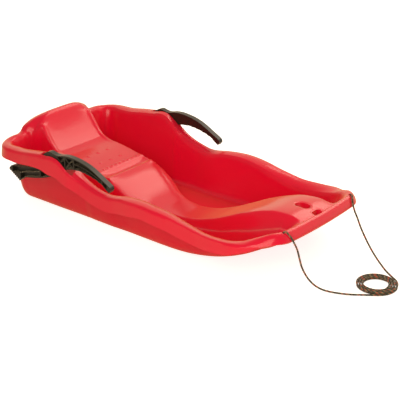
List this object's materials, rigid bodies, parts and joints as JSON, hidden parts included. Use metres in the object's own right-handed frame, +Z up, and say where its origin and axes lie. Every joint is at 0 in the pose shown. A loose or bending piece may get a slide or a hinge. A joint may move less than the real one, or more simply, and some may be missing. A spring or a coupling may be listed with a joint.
{
  "type": "bobsled",
  "caption": "Moulded plastic bob sled with a leaning backrest, seat, footwells, claw brake levers at the sides and a coiled pull rope.",
  "frame": {"origin": "on the ground, below the centre of the hull without its rope", "axes": "+X forward, +Y to the sitter's left, +Z up"},
  "size_m": [1.1809, 0.4896, 0.2216],
  "materials": {
    "hull_plastic": "gloss",
    "lever_plastic": "satin",
    "pin_steel": "zinc plated",
    "rope": "braided"
  },
  "bodies": {
    "sled": {"hull": "hull_plastic", "pivot_pin_left": "pin_steel", "pivot_pin_right": "pin_steel", "pin_clip_left": "pin_steel", "pin_clip_right": "pin_steel", "rope_right_run": "rope", "rope_left_run": "rope", "rope_coil": "rope", "rope_knot_right": "rope", "rope_knot_left": "rope"},
    "left_brake": {"brake_lever_left": "lever_plastic"},
    "right_brake": {"brake_lever_right": "lever_plastic"}
  },
  "joints": [
    {"name": "left_brake_pull", "type": "hinge", "parent": "sled", "child": "left_brake", "pos_m": [-0.247, 0.226, 0.153], "axis": [0, -1, 0], "range_deg": [0, 39]},
    {"name": "right_brake_pull", "type": "hinge", "parent": "sled", "child": "right_brake", "pos_m": [-0.247, -0.226, 0.153], "axis": [0, -1, 0], "range_deg": [0, 39]}
  ]
}
